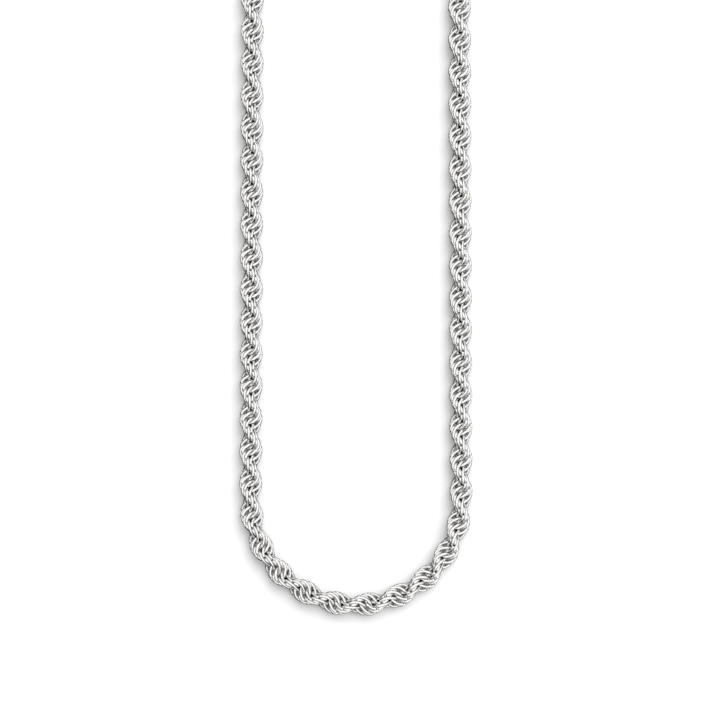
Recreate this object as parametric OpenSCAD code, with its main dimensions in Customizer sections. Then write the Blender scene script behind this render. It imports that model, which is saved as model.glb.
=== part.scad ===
// Rope chain necklace: one closed loop, lying flat with its bottom bend towards -Y.
// The floor is z = 0. Lengths are in millimetres.

/* [Rope] */
// Diameter of the rope over its links
rope_d = 3.5; // [2.5:0.1:6]
// Length of the closed loop, with its clasp
loop_len = 500; // [400:5:800]

/* [Lay] */
// Centreline radius of the bend at the bottom
bend_r = 15.9; // [15.2:0.1:60]
// Angle from the arch's top at which the rope enters its cap, in degrees
mouth_angle = 58; // [50:1:70]

/* [End caps] */
// Wall of the cup around the rope's end
cap_wall = 0.3; // [0.2:0.05:0.8]
// Depth of the cup
cap_depth = 3.4; // [2:0.1:8]
// Length of the solid domed end behind the cup
dome_len = 1.4; // [0.8:0.1:4]
// Clearance between the rope's end and the cup
seat_gap = 0.1; // [0.05:0.05:0.3]

/* [Eyes and rings] */
// Wire of the eyes on the caps and on the clasp
eye_wire = 0.8; // [0.5:0.05:1.2]
// Play of a ring's wire all round in a cap's eye
eye_play = 0.45; // [0.2:0.05:0.8]
// Play of a ring's wire all round in the clasp's tail eye
tail_play = 0.7; // [0.6:0.05:1]
// Wire of the jump rings
ring_wire = 0.8; // [0.5:0.05:1.1]
// Room left inside a jump ring between the two pieces that it links
ring_play = 0.4; // [0.3:0.05:1]

/* [Clasp] */
// Length of the clasp's barrel
barrel_len = 5; // [3:0.1:9]
// Radius of the barrel at its ends
barrel_end_r = 1.2; // [0.8:0.05:1.25]
// Wire of the clasp's hook
hook_wire = 1.3; // [0.9:0.05:1.6]
// Clear width inside the hook
hook_w = 3.2; // [2.8:0.1:5]
// Straight length of the hook's two sides
hook_side = 2; // [1:0.1:6]
// Clearance between the hook's front and the ring that it holds
hook_gap = 0.3; // [0.2:0.05:0.6]
// Diameter of the thumb nub on the gate side
nub_d = 1.4; // [0.8:0.1:2]
// How far the nub stands out from the hook's side
nub_out = 0.7; // [0.3:0.1:2]

/* [Hidden] */

// Sides of the rope's tube, with one side flat on the floor
rope_sides = 8;
// Rings of one half of the tube along the bend, the straight side and the arch
bend_steps = 9;
side_steps = 22;
arch_steps = 4;
// Facets of round surfaces
round_n = 48;
// Depth to which soldered pieces reach into each other
solder = 0.35;

rope_r = rope_d / 2;
tube_r = rope_r / cos(180 / rope_sides);
bore_r = rope_r + seat_gap;
cap_r = bore_r + cap_wall;
cap_len = cap_depth + cap_wall;
// Height of the caps' axis, which is the height of every piece of the closure
axis_z = cap_r;

// Mean radius of a cap's eye, and its centre from the cup's mouth
eye_r = ring_wire / 2 + eye_play + eye_wire / 2;
eye_x = cap_len + dome_len + eye_r + eye_wire / 2 - solder;
// Rounding of the cap's closed end
dome_r = min(dome_len, cap_r - eye_wire / 2);

// Clasp along its own axis, from the centre of its tail eye
tail_r = ring_wire / 2 + tail_play + eye_wire / 2;
barrel_x = tail_r + eye_wire / 2 - solder;
swell = cap_r - barrel_end_r;
swell_r = (barrel_len * barrel_len / 4 + swell * swell) / (2 * swell);
hook_r = (hook_w + hook_wire) / 2;
hook_rear_x = barrel_x + barrel_len - solder + hook_r + hook_wire / 2;
hook_front_x = hook_rear_x + hook_side;
hook_hold = ring_wire / 2 + hook_gap + hook_wire / 2;
clasp_len = hook_front_x + hook_r - hook_hold;
clasp_half_w = hook_r + hook_wire / 2;

// Jump rings: wide enough for the two pieces inside, leaning until they touch the floor
cap_share = eye_wire + eye_play;
clasp_share = max(hook_wire + hook_gap, eye_wire + tail_play);
ring_hole = cap_share + clasp_share + ring_play;
ring_r = (ring_hole + ring_wire) / 2;
ring_lean = acos(min(1, (axis_z - ring_wire / 2) / ring_r));

// The jump rings carry half of the lean on, and the arch is as wide as the whole closure
ring_angle = mouth_angle / 2;
closure_half_w = clasp_len / 2 + 2 * ring_r * cos(ring_angle) + eye_x * cos(mouth_angle);
arch_r = closure_half_w / sin(mouth_angle);

// Places of the closure, seen from the centre of the arch
mouth = [closure_half_w, arch_r * cos(mouth_angle)];
cap_eye = mouth + eye_x * [-cos(mouth_angle), sin(mouth_angle)];
ring_centre = cap_eye + ring_r * [-cos(ring_angle), sin(ring_angle)];
clasp_y = cap_eye.y + 2 * ring_r * sin(ring_angle);

// Straight sides: what the bend, the arch and the closure leave of the loop
closure_len = clasp_len + 4 * ring_r + 2 * eye_x;
side_guess = (loop_len - closure_len - PI * bend_r - PI * arch_r * (90 - mouth_angle) / 90) / 2;
side_a = atan2(bend_r - arch_r, side_guess);
side_len = side_guess - (bend_r + arch_r) * side_a * PI / 180;
centre_gap = sqrt(side_len * side_len + (bend_r - arch_r) * (bend_r - arch_r));

// Heights in the plan: the loop's outline is centred on the origin
loop_h = rope_r + bend_r + centre_gap + clasp_y + clasp_half_w + nub_out;
bend_y = rope_r + bend_r - loop_h / 2;
arch_y = bend_y + centre_gap;

// A section of the tube: its plan place, its heading, its height and its radius
function section(c, r, a, z, s) = [c.x + r * cos(a), c.y + r * sin(a), a + 90, z, s];
bend_part = [for (i = [0:bend_steps])
    section([0, bend_y], bend_r, -90 + (90 + side_a) * i / bend_steps, rope_r, tube_r)];
side_start = [bend_r * cos(side_a), bend_y + bend_r * sin(side_a)];
side_end = [arch_r * cos(side_a), arch_y + arch_r * sin(side_a)];
side_part = [for (i = [1:side_steps - 1])
    let (p = side_start + (side_end - side_start) * i / side_steps)
    [p.x, p.y, side_a + 90, rope_r, tube_r]];
// Over the arch the rope rises to the caps' axis and narrows to its seat
function rise(t) = t * t * (3 - 2 * t);
arch_part = [for (i = [0:arch_steps])
    let (t = i / arch_steps)
    section([0, arch_y], arch_r, side_a + (90 - mouth_angle - side_a) * t,
            rope_r + (axis_z - rope_r) * rise(t), tube_r + (rope_r - tube_r) * rise(t))];
rope_end = mouth + (cap_depth - seat_gap) * [-cos(mouth_angle), sin(mouth_angle)];
seat_part = [[rope_end.x, arch_y + rope_end.y, 180 - mouth_angle, axis_z, rope_r]];
sections = concat(bend_part, side_part, arch_part, seat_part);

// Corners of one section, square to its heading
function corners(s) = [for (k = [0:rope_sides - 1])
    let (a = 360 * (k + 0.5) / rope_sides)
    [s[0] + s[4] * cos(a) * sin(s[2]), s[1] - s[4] * cos(a) * cos(s[2]), s[3] + s[4] * sin(a)]];
function side_faces(n) = [for (i = [0:n - 2], k = [0:rope_sides - 1])
    let (j = (k + 1) % rope_sides)
    [i * rope_sides + k, i * rope_sides + j, (i + 1) * rope_sides + j, (i + 1) * rope_sides + k]];

module rope_half() {
    n = len(sections);
    first = [for (k = [0:rope_sides - 1]) rope_sides - 1 - k];
    last = [for (k = [0:rope_sides - 1]) (n - 1) * rope_sides + k];
    points = [for (s = sections) each corners(s)];
    inward = concat([first], side_faces(n), [last]);
    polyhedron(points, [for (f = inward) [for (k = [1:len(f)]) f[len(f) - k]]]);
}

// A round ring of wire in the XY plane
module wire_ring(r, wire) {
    rotate_extrude($fn = round_n)
    translate([r, 0])
    circle(d = wire, $fn = round_n / 2);
}

// A cap along +X from its cup's mouth, its far edge rounded to a dome
module cap() {
    rotate([0, 90, 0])
    rotate_extrude($fn = round_n)
    difference() {
        union() {
            square([cap_r, cap_len]);
            square([cap_r - dome_r, cap_len + dome_len]);
            translate([cap_r - dome_r, cap_len + dome_len - dome_r])
            intersection() {
                circle(dome_r, $fn = round_n);
                square(dome_r);
            }
        }
        square([bore_r, cap_depth]);
    }
    translate([eye_x, 0, 0])
    rotate([ring_lean, 0, 0])
    wire_ring(eye_r, eye_wire);
}

// The clasp's closed hook: two half rings joined by straight sides
module hook() {
    translate([hook_rear_x, 0, 0]) half_hook(90);
    translate([hook_front_x, 0, 0]) half_hook(-90);
    for (y = [-hook_r, hook_r])
        translate([hook_rear_x, y, 0])
        rotate([0, 90, 0])
        cylinder(d = hook_wire, h = hook_side, $fn = round_n / 2);
}

module half_hook(turn) {
    rotate([0, 0, turn])
    rotate_extrude(angle = 180, $fn = round_n)
    translate([hook_r, 0])
    circle(d = hook_wire, $fn = round_n / 2);
}

// The clasp's barrel, swelling from its ends to its middle along one arc
module barrel() {
    translate([barrel_x, 0, 0])
    rotate([0, 90, 0])
    rotate_extrude($fn = round_n)
    intersection() {
        square([cap_r, barrel_len]);
        translate([cap_r - swell_r, barrel_len / 2])
        circle(swell_r, $fn = round_n);
    }
}

module nub() {
    translate([hook_rear_x, hook_r, 0])
    rotate([-90, 0, 0])
    cylinder(d = nub_d, h = hook_wire / 2 + nub_out, $fn = round_n / 2);
}

module rope_left() {
    color("gainsboro") mirror([1, 0, 0]) rope_half();
}

module rope_right() {
    color("gainsboro") rope_half();
}

// The right half of the closure; the left half is its mirror image
module placed_cap() {
    translate([mouth.x, arch_y + mouth.y, axis_z])
    rotate([0, 0, 180 - mouth_angle])
    cap();
}

module placed_ring() {
    translate([ring_centre.x, arch_y + ring_centre.y, axis_z])
    rotate([0, 0, -ring_angle])
    rotate([90 - ring_lean, 0, 0])
    wire_ring(ring_r, ring_wire);
}

module end_cap_left() {
    color("silver") mirror([1, 0, 0]) placed_cap();
}

module end_cap_right() {
    color("silver") placed_cap();
}

module jump_ring_left() {
    color("lightgray") mirror([1, 0, 0]) placed_ring();
}

module jump_ring_right() {
    color("lightgray") placed_ring();
}

module clasp() {
    color("silver")
    translate([-clasp_len / 2, arch_y + clasp_y, axis_z]) {
        wire_ring(tail_r, eye_wire);
        barrel();
        hook();
        nub();
    }
}

rope_left();
rope_right();
end_cap_left();
end_cap_right();
jump_ring_left();
jump_ring_right();
clasp();
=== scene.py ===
"""Rope chain necklace in silver: its links, its closure, a pale floor, soft light and a camera."""
import math

import bpy
import numpy as np
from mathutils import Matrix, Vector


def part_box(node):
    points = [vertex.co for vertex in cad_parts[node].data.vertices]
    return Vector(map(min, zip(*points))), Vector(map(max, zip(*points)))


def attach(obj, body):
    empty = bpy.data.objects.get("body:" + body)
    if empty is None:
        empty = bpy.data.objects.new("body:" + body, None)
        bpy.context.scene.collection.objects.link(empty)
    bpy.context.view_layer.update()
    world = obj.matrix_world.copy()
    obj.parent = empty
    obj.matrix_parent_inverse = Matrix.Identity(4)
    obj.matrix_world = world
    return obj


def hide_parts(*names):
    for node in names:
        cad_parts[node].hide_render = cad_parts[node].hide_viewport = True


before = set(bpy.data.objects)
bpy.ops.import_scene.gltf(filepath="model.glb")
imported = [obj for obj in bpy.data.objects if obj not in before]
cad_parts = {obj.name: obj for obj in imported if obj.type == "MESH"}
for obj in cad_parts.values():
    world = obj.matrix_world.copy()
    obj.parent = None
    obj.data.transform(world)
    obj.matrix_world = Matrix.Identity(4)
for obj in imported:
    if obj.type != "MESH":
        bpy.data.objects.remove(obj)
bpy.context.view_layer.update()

MM = 0.001

# Sizes of the model that the rope's route follows
ROPE_D = 3.5 * MM
LOOP_LEN = 500 * MM
BEND_R = 15.9 * MM
MOUTH_ANGLE = math.radians(58)
CAP_DEPTH = 3.4 * MM
SEAT_GAP = 0.1 * MM
CAP_WALL = 0.3 * MM
EYE_X = 6.4 * MM
JUMP_RING_R = 2.025 * MM
CLASP_LEN = 12 * MM

# Lay of the rope: its links make two lobes that turn about its axis
LOBE_LEN = 4.88 * MM
LINKS_PER_LOBE = 11.3
START_TURN = math.radians(-118)

# One link: an oval of wire, how it leans and lies off the rope's axis, and the cut in it
LINK_WIRE = 0.394 * MM
LINK_LONG_R = 1.609 * MM
LINK_WIDE_R = 1.126 * MM
LINK_SWING = math.radians(89.9)
LINK_TILT = math.radians(-56.9)
LINK_OFFSET = 0.408 * MM
LINK_CUT_ANGLE = math.radians(147)
LINK_CUT = 0.4 * MM

# Meshes of the links: steps round a link, sides of its wire, and joined pieces on each side
RING_STEPS = 36
WIRE_SIDES = 10
PIECES_PER_SIDE = 3

# Name of the links' own value: how far out in the rope a point lies, from 0 at its axis to 1
OUTER_SHARE = "outer_share"

# Tone of the painted shade in the rope's core, and the shares of its radius between which it fades out
CORE_SHADE_TONE = (0.01, 0.01, 0.01)
CORE_SHADE_FADE = (0.14, 0.36)

# Each silver's lighter and darker tone, its roughness, the scales of its clouds and lines, its bump
SILVERS = {
    "rope_silver": {
        "light": (0.96, 0.955, 0.945), "dark": (0.90, 0.895, 0.885),
        "rough": (0.06, 0.14), "clouds": 500, "lines": 9000, "bump": 0.2},
    "cap_silver": {
        "light": (0.93, 0.92, 0.90), "dark": (0.84, 0.83, 0.80),
        "rough": (0.12, 0.24), "clouds": 900, "lines": 9000, "bump": 0.25},
    "ring_silver": {
        "light": (0.92, 0.91, 0.89), "dark": (0.82, 0.81, 0.79),
        "rough": (0.14, 0.28), "clouds": 700, "lines": 12000, "bump": 0.3},
    "clasp_silver": {
        "light": (0.93, 0.92, 0.89), "dark": (0.80, 0.79, 0.76),
        "rough": (0.14, 0.3), "clouds": 500, "lines": 6000, "bump": 0.35},
}
# Span of the noise that the rubbed lines' roughness follows, and the depth of the lines
LINES_SPAN = (0.35, 0.65)
LINES_DEPTH = 0.02 * MM

# Silver of each piece of the closure
CLOSURE = {
    "end_cap_left": "cap_silver",
    "end_cap_right": "cap_silver",
    "jump_ring_left": "ring_silver",
    "jump_ring_right": "ring_silver",
    "clasp": "clasp_silver",
}

# Floor: its side in metres, so wide that its edge stays out of a low view, and its finish
FLOOR_SIZE = 20
FLOOR_DARK = (0.67, 0.67, 0.67)
FLOOR_LIGHT = (0.70, 0.70, 0.70)
FLOOR_GRAIN = 300
FLOOR_ROUGH = 0.9

# Studio: brightness of its left and right sides, of its dark strip and of what lies below
LEFT_SKY = 1.06
RIGHT_SKY = 1.12
NEAR_SKY = 0.1
LOW_SKY = 0.02
# Where each of them fades, on the unit sphere: along X, along X + Y, and twice along Z
SKY_FADE = (-0.5, 0.6)
STRIP_FADE = (-0.5, -0.8)
STRIP_TOP_FADE = (0.5, 0.3)
BELOW_FADE = (0, -0.34)

# Key light: its strength, its width in the sky and its turn from straight down
KEY_STRENGTH = 3.0
KEY_WIDTH = math.radians(60)
KEY_TURN = (math.radians(-29), math.radians(23), 0)

# Light that the floor throws up at the closure: its brightness, its two sides and its height
BOUNCE = 0.09
BOUNCE_W = 56 * MM
BOUNCE_D = 40 * MM
BOUNCE_LIFT = 0.05 * MM

# Camera: straight above the lower part of the loop, as wide as the photograph
VIEW_W = 108.8 * MM
VIEW_X = 0.62 * MM
VIEW_Y = -79.6 * MM
CAMERA_LENS = 120
CAMERA_SENSOR = 36

rope_r = ROPE_D / 2
cap_r = rope_r + SEAT_GAP + CAP_WALL
link_pitch = LOBE_LEN / LINKS_PER_LOBE


def make_route():
    """Half of the rope's centreline as lengths and angles, by the model's own formulas."""
    half_w = CLASP_LEN / 2 + 2 * JUMP_RING_R * math.cos(MOUTH_ANGLE / 2) + EYE_X * math.cos(MOUTH_ANGLE)
    arch_r = half_w / math.sin(MOUTH_ANGLE)
    closure_len = CLASP_LEN + 4 * JUMP_RING_R + 2 * EYE_X
    arch_turn = math.pi / 2 - MOUTH_ANGLE
    side_guess = (LOOP_LEN - closure_len - math.pi * BEND_R - 2 * arch_r * arch_turn) / 2
    side_a = math.atan2(BEND_R - arch_r, side_guess)
    side_len = side_guess - (BEND_R + arch_r) * side_a
    low_corner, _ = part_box("rope_right")
    bend_y = low_corner.y + rope_r + BEND_R
    return {
        "bend_y": bend_y,
        "arch_y": bend_y + math.hypot(side_len, BEND_R - arch_r),
        "arch_r": arch_r,
        "side_a": side_a,
        "bend_len": BEND_R * (math.pi / 2 + side_a),
        "side_len": side_len,
        "arch_len": arch_r * (arch_turn - side_a),
        "seat_len": CAP_DEPTH - SEAT_GAP,
    }


def place_on_route(route, s):
    """Places and headings at lengths s from the bottom of the loop, counted positive on the right."""
    length = np.abs(s)
    on_side = length - route["bend_len"]
    on_arch = on_side - route["side_len"]
    past = np.maximum(0, on_arch - route["arch_len"])
    arch_r, side_a = route["arch_r"], route["side_a"]
    bend_turn = length / BEND_R - math.pi / 2
    arch_turn = side_a + np.clip(on_arch, 0, route["arch_len"]) / arch_r
    x = np.select([on_side < 0, on_arch < 0], [
        BEND_R * np.cos(bend_turn),
        BEND_R * math.cos(side_a) - on_side * math.sin(side_a),
    ], arch_r * np.cos(arch_turn) - past * np.sin(arch_turn))
    y = np.select([on_side < 0, on_arch < 0], [
        route["bend_y"] + BEND_R * np.sin(bend_turn),
        route["bend_y"] + BEND_R * math.sin(side_a) + on_side * math.cos(side_a),
    ], route["arch_y"] + arch_r * np.sin(arch_turn) + past * np.cos(arch_turn))
    t = np.clip(on_arch / route["arch_len"], 0, 1)
    z = rope_r + (cap_r - rope_r) * t * t * (3 - 2 * t)
    heading = np.where(on_side < 0, bend_turn, arch_turn) + math.pi / 2
    side = np.where(s < 0, -1, 1)
    return np.stack([side * x, y, z], -1), np.stack([np.cos(heading), side * np.sin(heading)], -1)


def make_link():
    """Points of one C-shaped link about its place on the rope, X and Y across the rope, Z along it."""
    swung = np.array([math.cos(LINK_SWING), 0, -math.sin(LINK_SWING)])
    normal = np.array([math.sin(LINK_SWING), 0, math.cos(LINK_SWING)])
    across = np.array([0, 1.0, 0])
    centre = np.array([LINK_OFFSET, 0, 0])
    cos_tilt, sin_tilt = math.cos(LINK_TILT), math.sin(LINK_TILT)
    long_way = cos_tilt * swung + sin_tilt * across
    wide_way = cos_tilt * across - sin_tilt * swung
    half_cut = LINK_CUT / (LINK_LONG_R + LINK_WIDE_R)
    points = []
    for i in range(RING_STEPS + 1):
        t = LINK_CUT_ANGLE + half_cut + 2 * (math.pi - half_cut) * i / RING_STEPS
        bend = centre + LINK_LONG_R * math.cos(t) * long_way + LINK_WIDE_R * math.sin(t) * wide_way
        heading = LINK_WIDE_R * math.cos(t) * wide_way - LINK_LONG_R * math.sin(t) * long_way
        outward = np.cross(heading / np.linalg.norm(heading), normal)
        for j in range(WIRE_SIDES):
            f = 2 * math.pi * j / WIRE_SIDES
            points.append(bend + LINK_WIRE / 2 * (math.cos(f) * outward + math.sin(f) * normal))
    return np.array(points)


def link_faces():
    """Faces of one link: the quads of its tube, then its two cut ends."""
    faces = []
    for i in range(RING_STEPS):
        for j in range(WIRE_SIDES):
            a = i * WIRE_SIDES + j
            b = i * WIRE_SIDES + (j + 1) % WIRE_SIDES
            faces.append((a, b, b + WIRE_SIDES, a + WIRE_SIDES))
    last = RING_STEPS * WIRE_SIDES
    faces.append(tuple(reversed(range(WIRE_SIDES))))
    faces.append(tuple(range(last, last + WIRE_SIDES)))
    return faces


def lay_links(route, link, steps):
    """Points of the links at the given steps along the rope, each turned and following its bend."""
    turn = START_TURN + steps * (math.pi - math.pi / LINKS_PER_LOBE)
    cos_turn, sin_turn = np.cos(turn)[:, None], np.sin(turn)[:, None]
    out = cos_turn * link[:, 0] - sin_turn * link[:, 1]
    down = sin_turn * link[:, 0] + cos_turn * link[:, 1]
    place, along = place_on_route(route, (steps * link_pitch)[:, None] + link[:, 2])
    place[..., 0] += out * along[..., 1]
    place[..., 1] -= out * along[..., 0]
    place[..., 2] -= down
    return place.reshape(-1, 3)


def join_links(name, route, link, steps):
    """One piece of the links at the given steps, whose points know how far out in the rope they lie."""
    faces = []
    for k in range(len(steps)):
        first = k * len(link)
        faces += [tuple(first + corner for corner in face) for face in link_faces()]
    mesh = bpy.data.meshes.new(name)
    mesh.from_pydata(lay_links(route, link, steps).tolist(), [], faces)
    mesh.polygons.foreach_set("use_smooth", [len(face) == 4 for face in faces])
    outer = mesh.attributes.new(OUTER_SHARE, "FLOAT", "POINT")
    outer.data.foreach_set("value", np.tile(np.hypot(link[:, 0], link[:, 1]) / rope_r, len(steps)))
    mesh.update()
    piece = bpy.data.objects.new(name, mesh)
    bpy.context.scene.collection.objects.link(piece)
    return piece


def make_links(route, material):
    """The links of each side in joined pieces that stand for the side's tube."""
    link = make_link()
    half_len = route["bend_len"] + route["side_len"] + route["arch_len"] + route["seat_len"]
    half_steps = np.arange(int((half_len - LINK_LONG_R - LINK_WIRE) / link_pitch)) + 0.5
    for side, steps in (("left", -half_steps), ("right", half_steps)):
        for n, part in enumerate(np.array_split(steps, PIECES_PER_SIDE)):
            piece = join_links(f"links_{side}_{n + 1}", route, link, part)
            piece.data.materials.append(material)
            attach(piece, "root")
            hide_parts(f"rope_{side}")


def add_node(tree, kind, settings=None, inputs=None):
    """A shader node with its settings, and its inputs as numbers or links."""
    node = tree.nodes.new(kind)
    for key, value in (settings or {}).items():
        setattr(node, key, value)
    for key, value in (inputs or {}).items():
        if isinstance(value, bpy.types.NodeSocket):
            tree.links.new(value, node.inputs[key])
        else:
            node.inputs[key].default_value = value
    return node


def add_ramp(tree, value, span, ends, kind="SMOOTHSTEP"):
    """A value that runs between two ends while another one runs along a span."""
    ramp = add_node(tree, "ShaderNodeMapRange", {"interpolation_type": kind}, {
        "Value": value, "From Min": span[0], "From Max": span[1], "To Min": ends[0], "To Max": ends[1]})
    return ramp.outputs["Result"]


def add_mix(tree, share, first, second, kind="FLOAT"):
    """Two values or colours, mixed by a share of the second."""
    mix = add_node(tree, "ShaderNodeMix", {"data_type": kind}, {"Factor": share, "A": first, "B": second})
    return mix.outputs["Result"]


def add_math(tree, operation, first, second):
    """The sum or the product of two values."""
    return add_node(tree, "ShaderNodeMath", {"operation": operation}, {0: first, 1: second}).outputs["Value"]


def new_material(name):
    """A material with its node tree and its shader."""
    material = bpy.data.materials.new(name)
    material.use_nodes = True
    return material, material.node_tree, material.node_tree.nodes["Principled BSDF"]


def make_silver(name):
    """Polished silver: faint clouds of tone, fine rubbed lines in its roughness and a shallow bump."""
    look = SILVERS[name]
    material, tree, shader = new_material(name)
    place = add_node(tree, "ShaderNodeTexCoord").outputs["Object"]
    clouds = add_node(tree, "ShaderNodeTexNoise", inputs={
        "Vector": place, "Scale": look["clouds"], "Detail": 4, "Roughness": 0.6}).outputs["Fac"]
    lines = add_node(tree, "ShaderNodeTexNoise", inputs={
        "Vector": place, "Scale": look["lines"], "Detail": 6, "Roughness": 0.7,
        "Distortion": 1.2}).outputs["Fac"]
    tone = add_mix(tree, clouds, (*look["dark"], 1), (*look["light"], 1), "RGBA")
    rough = add_ramp(tree, lines, LINES_SPAN, look["rough"], "LINEAR")
    dents = add_node(tree, "ShaderNodeBump", inputs={
        "Height": lines, "Strength": look["bump"], "Distance": LINES_DEPTH})
    shader.inputs["Metallic"].default_value = 1
    tree.links.new(tone, shader.inputs["Base Color"])
    tree.links.new(rough, shader.inputs["Roughness"])
    tree.links.new(dents.outputs["Normal"], shader.inputs["Normal"])
    return material


def paint_core_shade(material):
    """Painted shade: silver that darkens to near black towards the rope's core, in the hollows between the
    links.
    """
    tree = material.node_tree
    base = tree.nodes["Principled BSDF"].inputs["Base Color"]
    outer = add_node(tree, "ShaderNodeAttribute", {"attribute_name": OUTER_SHARE}).outputs["Fac"]
    # Painted shade: the silver's own tone near the rope's outside, fading to near black towards its axis
    unshaded = add_ramp(tree, outer, CORE_SHADE_FADE, (0, 1))
    tree.links.new(add_mix(tree, unshaded, (*CORE_SHADE_TONE, 1), base.links[0].from_socket, "RGBA"), base)


def dress_closure():
    """The caps, the jump rings and the clasp keep their solids and get their own silver."""
    silvers = {name: make_silver(name) for name in dict.fromkeys(CLOSURE.values())}
    for node, name in CLOSURE.items():
        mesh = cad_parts[node].data
        mesh.materials.clear()
        mesh.materials.append(silvers[name])


def make_floor():
    """A plain pale floor that catches the soft shadow but isn't mirrored in the silver."""
    bpy.ops.mesh.primitive_plane_add(size=FLOOR_SIZE, location=(0, 0, 0))
    floor = bpy.context.object
    floor.name = "floor"
    material, tree, shader = new_material("floor_white")
    place = add_node(tree, "ShaderNodeTexCoord").outputs["Object"]
    grain = add_node(tree, "ShaderNodeTexNoise", inputs={
        "Vector": place, "Scale": FLOOR_GRAIN, "Detail": 3}).outputs["Fac"]
    tone = add_mix(tree, grain, (*FLOOR_DARK, 1), (*FLOOR_LIGHT, 1), "RGBA")
    tree.links.new(tone, shader.inputs["Base Color"])
    shader.inputs["Roughness"].default_value = FLOOR_ROUGH
    floor.data.materials.append(material)
    floor.visible_glossy = False


def make_world():
    """A white studio, brighter on the right, with a dark strip low on the near left, and dark below."""
    world = bpy.data.worlds.new("studio")
    world.use_nodes = True
    tree = world.node_tree
    way = add_node(tree, "ShaderNodeTexCoord").outputs["Generated"]
    x, y, z = add_node(tree, "ShaderNodeSeparateXYZ", inputs={0: way}).outputs
    sky = add_ramp(tree, x, SKY_FADE, (LEFT_SKY, RIGHT_SKY))
    near_left = add_ramp(tree, add_math(tree, "ADD", x, y), STRIP_FADE, (0, 1))
    strip = add_math(tree, "MULTIPLY", near_left, add_ramp(tree, z, STRIP_TOP_FADE, (0, 1)))
    above = add_mix(tree, strip, sky, NEAR_SKY)
    light = add_mix(tree, add_ramp(tree, z, BELOW_FADE, (0, 1)), above, LOW_SKY)
    background = tree.nodes["Background"]
    tree.links.new(light, background.inputs["Strength"])
    background.inputs["Color"].default_value = (1, 1, 1, 1)
    bpy.context.scene.world = world


def make_key_light():
    """A broad soft light from the upper right, which lights the floor but isn't mirrored in the silver."""
    light = bpy.data.lights.new("key", "SUN")
    light.energy = KEY_STRENGTH
    light.angle = KEY_WIDTH
    key = bpy.data.objects.new("key", light)
    key.rotation_euler = KEY_TURN
    key.visible_glossy = False
    bpy.context.scene.collection.objects.link(key)


def make_bounce():
    """The pale floor's light from below, on the smooth pieces of the closure alone."""
    light = bpy.data.lights.new("bounce", "AREA")
    light.shape = "RECTANGLE"
    light.size = BOUNCE_W
    light.size_y = BOUNCE_D
    light.energy = BOUNCE * math.pi * BOUNCE_W * BOUNCE_D
    low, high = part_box("clasp")
    bounce = bpy.data.objects.new("bounce", light)
    bounce.location = (0, (low.y + high.y) / 2, BOUNCE_LIFT)
    bounce.rotation_euler = (math.pi, 0, 0)
    bounce.visible_camera = False
    lit = bpy.data.collections.new("closure")
    for node in CLOSURE:
        lit.objects.link(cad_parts[node])
    bounce.light_linking.receiver_collection = lit
    bpy.context.scene.collection.objects.link(bounce)


def make_camera():
    """A long lens straight above, with the loop's upper part out of its frame."""
    data = bpy.data.cameras.new("camera")
    data.lens = CAMERA_LENS
    data.sensor_width = CAMERA_SENSOR
    camera = bpy.data.objects.new("camera", data)
    camera.location = (VIEW_X, VIEW_Y, rope_r + VIEW_W * CAMERA_LENS / CAMERA_SENSOR)
    bpy.context.scene.collection.objects.link(camera)
    bpy.context.scene.camera = camera


silver = make_silver("rope_silver")
# Painted shade in the rope's core, darker towards its axis
paint_core_shade(silver)
make_links(make_route(), silver)
dress_closure()
make_floor()
make_world()
make_key_light()
make_bounce()
make_camera()
bpy.context.scene.view_settings.view_transform = "Standard"
